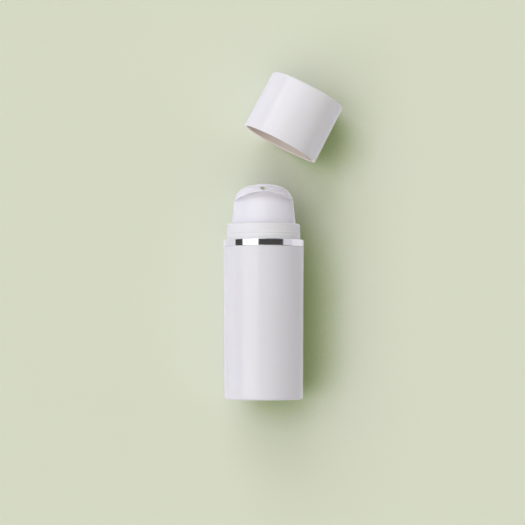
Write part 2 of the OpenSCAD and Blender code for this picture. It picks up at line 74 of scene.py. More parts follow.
MM = 0.001
PLASTIC_IOR = 1.49
LEAST_TURN = 0.01
LEAST_STEPS = 3
LEAST_RADIUS = 1e-6
BLACK = (0.0, 0.0, 0.0, 1.0)
Pair = tuple[float, float]
Triple = tuple[float, float, float]
Colour = Triple
Socket = bpy.types.NodeSocket
Piece = bpy.types.Object


class Zone(Enum):
    """The side of a shell that a face belongs to, as the index of its material."""

    OUTSIDE = 0
    INSIDE = 1


class Body(Enum):
    """The moving bodies that pieces ride on."""

    BOTTLE = "bottle"
    HEAD = "head"
    CAP = "cap"


def add_object(name: str, data: bpy.types.ID) -> Piece:
    """Links a new object with this data into the scene."""
    made = bpy.data.objects.new(name, data)
    bpy.context.scene.collection.objects.link(made)
    return made


def around(radius: float, height: float, angle: float) -> Vector:
    """The point at a radius and a height, at an angle round the axis from the front."""
    return Vector((radius * math.sin(angle), height, radius * math.cos(angle)))


def add_mesh(name: str, points: list, faces: list) -> Piece:
    """Makes a mesh of points in metres and faces, and links it into the scene as an object."""
    mesh = bpy.data.meshes.new(name)
    mesh.from_pydata(points, [], faces)
    return add_object(name, mesh)


# Node trees.


class Tree:
    """A thin hand on a node tree, which makes nodes and links them."""

    def __init__(self, tree: bpy.types.NodeTree) -> None:
        """Takes the tree and empties it.

        Args:
            tree: the node tree of a material, a world or a group.
        """
        self.tree = tree
        tree.nodes.clear()

    def node(self, kind: str, inputs: dict | None = None, **settings: object) -> bpy.types.Node:
        """Makes a node.

        Args:
            kind: the node's type name.
            inputs: values or output sockets by the name or number of the input they feed.
            settings: properties of the node itself.

        Returns:
            The node.
        """
        made = self.tree.nodes.new(kind)
        for name, value in settings.items():
            setattr(made, name, value)
        for key, value in (inputs or {}).items():
            self.feed(made.inputs[key], value)
        return made

    def feed(self, socket: Socket, value: object) -> None:
        """Links an output to a socket, or sets the socket's own value."""
        if isinstance(value, Socket):
            self.tree.links.new(value, socket)
        else:
            socket.default_value = value

    def maths(self, operation: str, *terms: object) -> Socket:
        """Makes a Math node and returns its result."""
        return self.node("ShaderNodeMath", dict(enumerate(terms)), operation=operation).outputs[0]

    def product(self, *terms: object) -> Socket:
        """Multiplies two values and returns the result."""
        return self.maths("MULTIPLY", *terms)

    def inverse(self, value: Socket) -> Socket:
        """Divides one by a value and returns the result."""
        return self.maths("DIVIDE", 1.0, value)

    def place(self) -> Socket:
        """The place of a point in its object's own metres."""
        return self.node("ShaderNodeTexCoord").outputs["Object"]

    def noise(self, vector: object, scale: object, detail: float) -> Socket:
        """Makes a Noise node and returns its value."""
        inputs = {"Vector": vector, "Scale": scale, "Detail": detail}
        return self.node("ShaderNodeTexNoise", inputs).outputs[0]

    def bump(self, height: object, strength: float = 1.0) -> Socket:
        """Makes a Bump node from a height in metres and returns its normal."""
        inputs = {"Strength": strength, "Distance": 1.0, "Height": height}
        return self.node("ShaderNodeBump", inputs).outputs[0]

    def step(self, value: object, start: float, end: float) -> Socket:
        """Makes a smooth step of a value, from 0 at start to 1 at end, and returns it."""
        inputs = {0: value, 1: start, 2: end}
        return self.node("ShaderNodeMapRange", inputs, interpolation_type="SMOOTHSTEP").outputs[0]

    def spread(self, value: object, low: object, high: object) -> Socket:
        """Maps a 0 to 1 value onto low to high, and returns the result."""
        return self.node("ShaderNodeMapRange", {0: value, 3: low, 4: high}).outputs[0]

    def mix(self, factor: object, first: object, second: object, blend: str = "MIX") -> Socket:
        """Blends a second colour over a first by a factor, and returns the result."""
        inputs = {0: factor, 6: first, 7: second}
        return self.node("ShaderNodeMix", inputs, data_type="RGBA", blend_type=blend).outputs[2]

    def surface(self, shader: bpy.types.Node) -> None:
        """Makes a shader the surface of the material."""
        self.node("ShaderNodeOutputMaterial", {"Surface": shader.outputs[0]})


def new_material(name: str) -> tuple[bpy.types.Material, Tree]:
    """Makes a material with an empty node tree."""
    made = bpy.data.materials.new(name)
    made.use_nodes = True
    return made, Tree(made.node_tree)


class Effect:
    """A shader node group that several finishes share."""

    def __init__(self, name: str, inputs: dict[str, float], outputs: tuple[str, ...]) -> None:
        """Makes an empty group with its sockets.

        Args:
            name: the group's name.
            inputs: the default of each number that the effect takes.
            outputs: the values that it gives.
        """
        self.group = bpy.data.node_groups.new(name, "ShaderNodeTree")
        self.tree = Tree(self.group)
        for socket, value in inputs.items():
            made = self.group.interface.new_socket(socket, in_out="INPUT", socket_type="NodeSocketFloat")
            made.default_value = value
        for socket in outputs:
            self.group.interface.new_socket(socket, in_out="OUTPUT", socket_type="NodeSocketFloat")
        self.given = self.tree.node("NodeGroupInput").outputs
        self.result = self.tree.node("NodeGroupOutput").inputs

    def place(self, tree: Tree, **values: float) -> bpy.types.Node:
        """Places the effect in a material.

        Args:
            tree: the material's tree.
            values: the effect's inputs by name, with _ for each space.

        Returns:
            The group node.
        """
        made = tree.node("ShaderNodeGroup", node_tree=self.group)
        for name, value in values.items():
            made.inputs[name.replace("_", " ")].default_value = value
        return made


class Effects:
    """The shared effects: moulded skin, rub marks, turned lines, paper and painted shade in creases."""

    def __init__(self) -> None:
        """Builds each group once."""
        self.skin = self._moulded_skin()
        self.rubs = self._rub_marks()
        self.lines = self._turned_lines()
        self.paper = self._paper_grain()
        self.crease = self._crease_shade()

    @staticmethod
    def _moulded_skin() -> Effect:
        """The long waves that cooling leaves in a moulding, and the fine grain of its tool.

        Returns:
            The effect, which gives a height in metres and a slow cloud from 0 to 1.
        """
        cloud_scale, cloud_edges = 45.0, (0.3, 0.7)
        wave_detail, grain_detail, cloud_detail = 1.0, 3.0, 4.0
        made = Effect(
            "moulded_skin",
            {"Wave Size": 0.012, "Wave Height": 0.00002, "Grain Size": 0.0004, "Grain Height": 0.000001},
            ("Height", "Cloud"),
        )
        tree, given = made.tree, made.given
        place = tree.place()
        wave = tree.noise(place, tree.inverse(given["Wave Size"]), wave_detail)
        grain = tree.noise(place, tree.inverse(given["Grain Size"]), grain_detail)
        waves, grains = tree.product(wave, given["Wave Height"]), tree.product(grain, given["Grain Height"])
        tree.feed(made.result["Height"], tree.maths("ADD", waves, grains))
        cloud = tree.noise(place, cloud_scale, cloud_detail)
        tree.feed(made.result["Cloud"], tree.step(cloud, *cloud_edges))
        return made

    @staticmethod
    def _rub_marks() -> Effect:
        """Hairlines from handling, in two slanting directions, which fade in and out in patches.

        Returns:
            The effect, which gives a mask from 0 to 1.
        """
        hair_ways = (((0.3, 0.7, 0.2), (1.0, 0.03, 0.6)), ((0.9, -0.4, 1.1), (0.04, 1.0, 0.8)))
        hair_edges, patch_scale, patch_edges, detail = (0.64, 0.72), 90.0, (0.42, 0.66), 2.0
        made = Effect("rub_marks", {"Spacing": 0.0012, "Amount": 0.5}, ("Mask",))
        tree, given = made.tree, made.given
        place = tree.place()
        scale = tree.inverse(given["Spacing"])
        found = []
        for turn, stretch in hair_ways:
            turned = tree.node("ShaderNodeMapping", {"Vector": place, "Rotation": turn, "Scale": stretch})
            found.append(tree.step(tree.noise(turned.outputs[0], scale, detail), *hair_edges))
        patches = tree.step(tree.noise(place, patch_scale, detail), *patch_edges)
        fading = tree.product(tree.maths("MAXIMUM", *found), patches)
        tree.feed(made.result["Mask"], tree.product(fading, given["Amount"]))
        return made

    @staticmethod
    def _turned_lines() -> Effect:
        """Fine lines round the bottle's axis, as a turned or drawn surface has.

        Returns:
            The effect, which gives a height in metres and a mask from 0 to 1.
        """
        made = Effect("turned_lines", {"Pitch": 0.0001, "Depth": 0.0000004}, ("Height", "Mask"))
        tree, given = made.tree, made.given
        along = tree.node("ShaderNodeSeparateXYZ", {0: tree.place()}).outputs["Y"]
        scale = tree.inverse(given["Pitch"])
        inputs = {"W": along, "Scale": scale, "Detail": 3.0}
        line = tree.node("ShaderNodeTexNoise", inputs, noise_dimensions="1D").outputs[0]
        tree.feed(made.result["Height"], tree.product(line, given["Depth"]))
        tree.feed(made.result["Mask"], line)
        return made

    @staticmethod
    def _crease_shade() -> Effect:
        """Painted shade: darkens a colour where a crease or an overhang keeps out light.

        Returns:
            The effect, which gives a mask from 0 to 1.
        """
        open_edges, samples = (0.45, 1.0), 4
        made = Effect("crease_shade", {"Reach": 0.004, "Amount": 0.0}, ("Mask",))
        tree, given = made.tree, made.given
        seen = tree.node("ShaderNodeAmbientOcclusion", {"Distance": given["Reach"]}, samples=samples)
        closed = tree.maths("SUBTRACT", 1.0, tree.step(seen.outputs["AO"], *open_edges))
        tree.feed(made.result["Mask"], tree.product(closed, given["Amount"]))
        return made

    @staticmethod
    def _paper_grain() -> Effect:
        """The faint tooth of a paper background.

        Returns:
            The effect, which gives a height in metres and a cloud from 0 to 1.
        """
        cloud_scale, detail = 8.0, 2.0
        made = Effect("paper_grain", {"Tooth Size": 0.0006, "Tooth Height": 0.00002}, ("Height", "Cloud"))
        tree, given = made.tree, made.given
        place = tree.place()
        tooth = tree.noise(place, tree.inverse(given["Tooth Size"]), detail)
        tree.feed(made.result["Height"], tree.product(tooth, given["Tooth Height"]))
        tree.feed(made.result["Cloud"], tree.noise(place, cloud_scale, detail))
        return made


# Finishes.


@dataclass(frozen=True)
class MouldedPlastic:
    """White or natural plastic as it leaves its mould.

    Args:
        name: the material's name.
        slot: the record's material slot.
        colour: the colour of the plastic, linear.
        shade: the colour that its slow clouds drift to.
        gloss: the roughness where it is smoothest, and where it is rubbed.
        sheen: how strongly its skin mirrors.
        wave: the height of the cooling waves in metres.
        grain: the height of the tool's grain in metres.
        glow: how much light passes under the skin.
        glow_reach: how far red, green and blue travel there, in millimetres.
        rubbed: how strong the rub marks are.
        creased: how much painted shade darkens a crease, such as the front under the visor.
    """

    name: str
    slot: str
    colour: Colour
    shade: Colour
    gloss: Pair = (0.18, 0.3)
    sheen: float = 0.3
    wave: float = 0.000012
    grain: float = 0.0000006
    glow: float = 0.12
    glow_reach: Colour = (1.6, 1.2, 1.0)
    rubbed: float = 0.5
    creased: float = 0.0

    def material(self, effects: Effects) -> bpy.types.Material:
        """Builds the material.

        Args:
            effects: the shared effects.

        Returns:
            The material.
        """
        made, tree = new_material(self.name)
        skin = effects.skin.place(tree, Wave_Height=self.wave, Grain_Height=self.grain)
        rubs = effects.rubs.place(tree, Amount=self.rubbed)
        colour = tree.mix(skin.outputs["Cloud"], (*self.colour, 1.0), (*self.shade, 1.0))
        # Painted shade: an occlusion mask darkens the base colour in creases and under the visor.
        if self.creased:
            crease = effects.crease.place(tree, Amount=self.creased)
            colour = tree.mix(crease.outputs["Mask"], colour, BLACK)
        shader = tree.node(
            "ShaderNodeBsdfPrincipled",
            {
                "Base Color": colour,
                "Roughness": tree.spread(rubs.outputs["Mask"], *self.gloss),
                "IOR": PLASTIC_IOR,
                "Specular IOR Level": self.sheen,
                "Subsurface Weight": self.glow,
                "Subsurface Radius": self.glow_reach,
                "Subsurface Scale": MM,
                "Normal": tree.bump(skin.outputs["Height"]),
            },
        )
        tree.surface(shader)
        return made


@dataclass(frozen=True)
class BrightMetal:
    """A bright metal skin or wire, with fine lines round the axis.

    Args:
        name: the material's name.
        slot: the record's material slot.
        colour: the reflection's colour, linear.
        gloss: the roughness in its smoothest and its dullest lines.
        pitch: the distance between lines in metres.
        depth: the depth of the lines in metres.
        wave: the height of the waves in the plastic under the skin, in metres.
        wave_size: how long those waves are, in metres.
        drift: how dark its slow clouds are, as a share of the colour.
    """

    name: str
    slot: str
    colour: Colour
    gloss: Pair
    pitch: float
    depth: float
    wave: float
    wave_size: float = 0.006
    drift: float = 0.93

    def material(self, effects: Effects) -> bpy.types.Material:
        """Builds the material.

        Args:
            effects: the shared effects.

        Returns:
            The material.
        """
        made, tree = new_material(self.name)
        lines = effects.lines.place(tree, Pitch=self.pitch, Depth=self.depth)
        skin = effects.skin.place(
            tree, Wave_Size=self.wave_size, Wave_Height=self.wave, Grain_Height=0.0
        )
        height = tree.maths("ADD", lines.outputs["Height"], skin.outputs["Height"])
        darker = tuple(self.drift * part for part in self.colour)
        shader = tree.node(
            "ShaderNodeBsdfPrincipled",
            {
                "Base Color": tree.mix(skin.outputs["Cloud"], (*self.colour, 1.0), (*darker, 1.0)),
                "Metallic": 1.0,
                "Roughness": tree.spread(lines.outputs["Mask"], *self.gloss),
                "Normal": tree.bump(height),
            },
        )
        tree.surface(shader)
        return made


@dataclass
class Finishes:
    """Every finish of the bottle, built once and handed out by name."""

    effects: Effects
    kinds: tuple[MouldedPlastic | BrightMetal, ...] = (
        MouldedPlastic("body_white", "white_body", (0.83, 0.815, 0.86), (0.815, 0.8, 0.845), sheen=0.4),
        MouldedPlastic(
            "collar_white", "white_trim", (0.87, 0.86, 0.885), (0.855, 0.845, 0.87), gloss=(0.28, 0.4)
        ),
        MouldedPlastic(
            "head_white",
            "white_head",
            (0.87, 0.85, 0.91),
            (0.855, 0.835, 0.895),
            gloss=(0.24, 0.36),
            # painted shade under the visor and at the seam with the collar
            creased=0.1,
        ),
        # Painted shade: the orifice's bore takes a darker, olive-beige colour for the shade inside it.
        MouldedPlastic("head_bore_shade", "white_head", (0.79, 0.8, 0.71), (0.77, 0.78, 0.69), gloss=(0.4, 0.5)),
        MouldedPlastic("cap_white", "white_cap", (0.875, 0.86, 0.9), (0.86, 0.845, 0.885), sheen=0.4),
        # The cap's inside is given a darker, pinker colour than its outside.
        MouldedPlastic(
            "cap_inside", "white_cap", (0.8, 0.72, 0.66), (0.77, 0.69, 0.63), gloss=(0.35, 0.5), glow=0.3
        ),
        MouldedPlastic("natural_inside", "natural_plastic", (0.72, 0.75, 0.78), (0.68, 0.71, 0.74), glow=0.4),
        MouldedPlastic("soft_seal", "soft_white", (0.78, 0.76, 0.7), (0.74, 0.72, 0.66), gloss=(0.4, 0.5)),
        MouldedPlastic(
            "gasket_grey", "seal_rubber", (0.2, 0.21, 0.23), (0.18, 0.19, 0.21), gloss=(0.6, 0.75), glow=0.0
        ),
        BrightMetal("ring_bright", "bright_ring", (0.83, 0.82, 0.83), (0.06, 0.13), 1.2e-4, 2.5e-7, 1.2e-5),
        BrightMetal("spring_wire", "spring_steel", (0.55, 0.55, 0.57), (0.25, 0.4), 8e-5, 6e-7, 0.0),
    )
    built: dict[str, bpy.types.Material] = field(default_factory=dict)

    def __post_init__(self) -> None:
        """Builds the materials."""
        self.slots = {kind.name: kind.slot for kind in self.kinds}
        for kind in self.kinds:
            self.built[kind.name] = kind.material(self.effects)

    def dress(self, piece: Piece, *names: str) -> None:
        """Gives a piece its finishes.

        Args:
            piece: the object.
            names: the finishes, in the order of the material indices in its mesh.
        """
        if piece.data.materials:
            piece.data.materials.clear()
        for name in names:
            piece.data.materials.append(self.built[name])


# Turned shells.


@dataclass(frozen=True)
class Corner:
    """A corner of an outline that is turned about the axis.

    Args:
        radius: its distance from the axis.
        height: its place along the axis.
        rounding: the radius that rounds it off.
        zone: the side that the run after it belongs to.
    """

    radius: float
    height: float
    rounding: float = 0.0
    zone: Zone = Zone.OUTSIDE


@dataclass(frozen=True)
class Station:
    """A point of a finished outline, with the normals of the runs that meet there."""

    point: Pair
    normal_before: Pair
    normal_after: Pair
    zone: Zone


@dataclass(frozen=True)
class Outline:
    """An outline that runs clockwise, so that its left side is the outside of the plastic.

    Args:
        corners: the corners in order.
        closed: whether the last corner joins the first; an open one begins and ends on the axis.
        arc_step: the largest angle between two points of a rounding, in degrees.
    """

    corners: tuple[Corner, ...]
    closed: bool = True
    arc_step: float = 11.0

    def _way(self, start: int, end: int) -> Pair:
        """The unit direction from one corner to another."""
        a, b = self.corners[start], self.corners[end % len(self.corners)]
        run = (b.radius - a.radius, b.height - a.height)
        length = math.hypot(*run)
        return run[0] / length, run[1] / length

    def stations(self) -> list[Station]:
        """Rounds the corners off.

        Returns:
            The outline's points in order.
        """
        made = []
        for number, corner in enumerate(self.corners):
            first_end = not self.closed and number == 0
            last_end = not self.closed and number == len(self.corners) - 1
            before = self._way(number, number + 1) if first_end else self._way(number - 1, number)
            after = before if last_end else self._way(number, number + 1)
            made += self._corner(corner, before, after)
        return made

    def _corner(self, corner: Corner, before: Pair, after: Pair) -> list[Station]:
        """The points of one corner.

        Args:
            corner: the corner.
            before: the direction of the run that comes in.
            after: the direction of the run that goes out.

        Returns:
            One station for a sharp corner, or those of its rounding.
        """
        normal_before, normal_after = (-before[1], before[0]), (-after[1], after[0])
        bend = before[0] * after[1] - before[1] * after[0]
        turn = math.atan2(bend, before[0] * after[0] + before[1] * after[1])
        if corner.rounding <= 0 or abs(turn) < LEAST_TURN:
            return [Station((corner.radius, corner.height), normal_before, normal_after, corner.zone)]
        side = 1.0 if turn < 0 else -1.0
        back = corner.rounding * math.tan(abs(turn) / 2)
        start = (corner.radius - before[0] * back, corner.height - before[1] * back)
        centre = [start[i] - side * corner.rounding * normal_before[i] for i in (0, 1)]
        count = max(LEAST_STEPS, math.ceil(math.degrees(abs(turn)) / self.arc_step))
        made = []
        for step in range(count + 1):
            angle = turn * step / count
            cos, sin = math.cos(angle), math.sin(angle)
            x, y = normal_before
            normal = (x * cos - y * sin, x * sin + y * cos)
            point = tuple(centre[i] + side * corner.rounding * normal[i] for i in (0, 1))
            made.append(Station(point, normal, normal, corner.zone))
        return made


@dataclass(frozen=True)
class Lathe:
    """Turns an outline into a mesh with exact normals.

    Args:
        sectors: the number of steps round the axis.
        place: where the turned mesh goes, in millimetres.
    """

    sectors: int = 256
    place: Matrix = Matrix.Identity(4)

    def piece(self, name: str, outline: Outline) -> Piece:
        """Turns the outline.

        Args:
            name: the piece's name.
            outline: the outline, upright on the axis.

        Returns:
            The object, in the scene.
        """
        stations = outline.stations()
        rings, points = [], []
        for station in stations:
            radius, height = station.point
            count = 1 if radius < LEAST_RADIUS else self.sectors
            rings.append((len(points), count))
            points += [self._at(radius, height, step) for step in range(count)]
        faces, zones, normals = [], [], []
        last = len(stations) if outline.closed else len(stations) - 1
        for first in range(last):
            second = (first + 1) % len(stations)
            for step in range(self.sectors):
                corners = ((first, step), (second, step), (second, step + 1), (first, step + 1))
                face = []
                for ring, turn in corners:
                    start, count = rings[ring]
                    vertex = start + (turn % self.sectors if count > 1 else 0)
                    if vertex in face:
                        continue
                    face.append(vertex)
                    station = stations[ring]
                    slope = station.normal_after if ring == first else station.normal_before
                    normals.append(self._facing(slope, turn if count > 1 else step + 0.5))
                faces.append(face)
                zones.append(stations[first].zone.value)
        made = add_mesh(name, [MM * point for point in points], faces)
        made.data.polygons.foreach_set("material_index", zones)
        made.data.polygons.foreach_set("use_smooth", [True] * len(faces))
        made.data.normals_split_custom_set(normals)
        return made

    def _at(self, radius: float, height: float, step: float) -> Vector:
        """The point at a radius and a height, so many steps round from the front."""
        return self.place @ around(radius, height, math.tau * step / self.sectors)

    def _facing(self, slope: Pair, step: float) -> Vector:
        """The normal whose radial and axial parts are slope, so many steps round."""
        return self.place.to_3x3() @ around(*slope, math.tau * step / self.sectors)


@dataclass(frozen=True)
class Bottle:
    """The container, the bright ring on its shoulder and the collar.

    A lead is the slope at an opening, and a round or an edge is what takes off a corner.
    """

    base_radius: float = 17.2
    body_radius: float = 17.5
    bore_radius: float = 15.4
    shoulder: float = 66.7
    shoulder_thickness: float = 1.8
    neck_radius: float = 10.3
    neck_bore: float = 8.7
    neck_top: float = 71.6
    base_round: float = 1.0
    lead: float = 0.5
    lead_round: float = 0.12
    ceiling_slope: float = 1.0
    ceiling_round: float = 0.8
    shoulder_round: float = 0.3
    edge: float = 0.2
    ring_top: float = 69.7
    ring_inner: float = 16.2
    ring_foot: float = 0.6
    ring_rounds: Pair = (0.15, 0.25)
    collar_bottom: float = 67.35
    collar_radius: float = 16.05
    collar_upper_radius: float = 15.9
    collar_inner: float = 14.3
    collar_top: float = 76.7
    collar_rounds: Pair = (0.3, 0.6)
    bead_top: float = 73.0
    bead_radius: float = 0.35
    bead_step: float = 0.02
    bead_cheek: float = 0.1
    bead_rounds: Triple = (0.06, 0.1, 0.14)
    waist_depth: float = 0.12
    waist_drops: Triple = (0.12, 0.3, 0.75)
    waist_rounds: Pair = (0.3, 0.4)

    def container(self) -> Piece:
        """Turns the container with its rounded base, shoulder and neck.

        Returns:
            The object.
        """
        bore, ceiling = self.bore_radius, self.shoulder - self.shoulder_thickness
        outline = Outline((
            Corner(bore + self.lead, 0, self.lead_round),
            Corner(bore, self.lead),
            Corner(bore, ceiling - self.ceiling_slope, self.ceiling_round),
            Corner(bore - self.ceiling_slope, ceiling, self.ceiling_round),
            Corner(self.neck_bore, ceiling, self.edge),
            Corner(self.neck_bore, self.neck_top, self.edge),
            Corner(self.neck_radius, self.neck_top, self.edge),
            Corner(self.neck_radius, self.shoulder, self.edge),
            Corner(self.body_radius, self.shoulder, self.shoulder_round),
            Corner(self.base_radius, 0, self.base_round),
        ))
        return Lathe().piece("container_shell", outline)

    def ring(self) -> Piece:
        """Turns the bright ring with the foot that the collar holds down.

        Returns:
            The object.
        """
        foot = self.shoulder + self.ring_foot
        inner_round, outer_round = self.ring_rounds
        outline = Outline((
            Corner(self.collar_inner, self.shoulder),
            Corner(self.collar_inner, foot),
            Corner(self.ring_inner, foot),
            Corner(self.ring_inner, self.ring_top, inner_round),
            Corner(self.body_radius, self.ring_top, outer_round),
            Corner(self.body_radius, self.shoulder, outer_round),
        ))
        return Lathe().piece("ring_band", outline)

    def collar(self) -> Piece:
        """Turns the collar: two tiers, with a fine bead over a shallow waist between them.

        Returns:
            The object.
        """
        waist = self.collar_radius - self.waist_depth
        low = self.bead_top - 2 * self.bead_radius
        start, end, foot = self.waist_drops
        inner_round, top_round = self.collar_rounds
        upper_round, bead_round, cheek_round = self.bead_rounds
        waist_round, foot_round = self.waist_rounds
        outline = Outline((
            Corner(self.collar_inner, self.collar_bottom, self.edge),
            Corner(self.collar_inner, self.collar_top, inner_round),
            Corner(self.collar_upper_radius, self.collar_top, top_round),
            Corner(self.collar_upper_radius, self.bead_top + self.bead_step, upper_round),
            Corner(self.collar_radius, self.bead_top, bead_round),
            Corner(self.collar_radius, low + self.bead_cheek, cheek_round),
            Corner(waist, low - start, waist_round),
            Corner(waist, low - end, waist_round),
            Corner(self.collar_radius, low - foot, foot_round),
            Corner(self.collar_radius, self.collar_bottom, self.edge),
        ))
        return Lathe().piece("collar_sleeve", outline)

    def build(self, finishes: Finishes) -> list[Piece]:
        """Builds, dresses and seats the three shells.

        Args:
            finishes: the finishes.

        Returns:
            The pieces.
        """
        made = []
        for piece, node, finish in (
            (self.container(), "bottle_body", "body_white"),
            (self.ring(), "silver_ring", "ring_bright"),
            (self.collar(), "collar", "collar_white"),
        ):
            finishes.dress(piece, finish, finish)
            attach(piece, Body.BOTTLE.value)
            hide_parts(node)
            made.append(piece)
        return made


@dataclass(frozen=True)
class Overcap:
    """The round cap, which lies beside the head with its mouth toward the bottle."""

    bottom: float = 69.8
    top: float = 96.8
    mouth_radius: float = 17.5
    top_radius: float = 17.2
    inner_radius: float = 16.35
    upper_radius: float = 16.1
    draft: float = 0.3
    step: float = 76.95
    top_thickness: float = 1.3
    edge_round: float = 1.1
    grip_radius: float = 15.98
    grip_bottom: float = 74.4
    grip_height: float = 1.2
    grip_slope: float = 0.4
    soft_round: float = 0.3
    mouth_round: float = 0.22
    mouth_lead: Pair = (0.25, 0.5)
    lead_rounds: Pair = (0.12, 0.4)
    step_height: float = 0.25
    step_round: float = 0.1
    ceiling_round: float = 0.8
    pole: Pair = (89.7592, 76.522)
    turn: float = 27.6

    def placement(self) -> Matrix:
        """The turn about the pole that lays the closed cap in its place on the table.

        Returns:
            The placement.
        """
        pole = Vector((*self.pole, 0.0))
        turn = Matrix.Rotation(-math.radians(self.turn), 4, "Z")
        return Matrix.Translation(pole) @ turn @ Matrix.Translation(-pole)

    def shell(self) -> Piece:
        """Turns the cap with its grip bead, its step and the round at its top.

        Returns:
            The object, in its place on the table.
        """
        ceiling, inner = self.top - self.top_thickness, self.inner_radius
        narrow = self.upper_radius - self.draft
        grip_top = self.grip_bottom + self.grip_height
        lead_in, lead_up = self.mouth_lead
        low_round, lead_round = self.lead_rounds
        inside = (
            (inner + lead_in, self.bottom, low_round),
            (inner, self.bottom + lead_up, lead_round),
            (inner, self.grip_bottom - self.grip_slope, self.soft_round),
            (self.grip_radius, self.grip_bottom, self.soft_round),
            (self.grip_radius, grip_top, self.soft_round),
            (inner, grip_top + self.grip_slope, self.soft_round),
            (inner, self.step, self.step_round),
            (self.upper_radius, self.step + self.step_height, self.step_round),
            (narrow, ceiling, self.ceiling_round),
            (0, ceiling, 0),
        )
        outline = Outline((
            Corner(0, self.top),
            Corner(self.top_radius, self.top, self.edge_round),
            Corner(self.mouth_radius, self.bottom, self.mouth_round),
            *(Corner(*corner, Zone.INSIDE) for corner in inside),
        ), closed=False)
        return Lathe(place=self.placement()).piece("cap_shell", outline)

    def build(self, finishes: Finishes) -> Piece:
        """Builds, dresses and seats the cap.

        Args:
            finishes: the finishes.

        Returns:
            The piece.
        """
        made = self.shell()
        finishes.dress(made, "cap_white", "cap_inside")
        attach(made, Body.CAP.value)
        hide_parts("cap")
        return made


# The pump head.


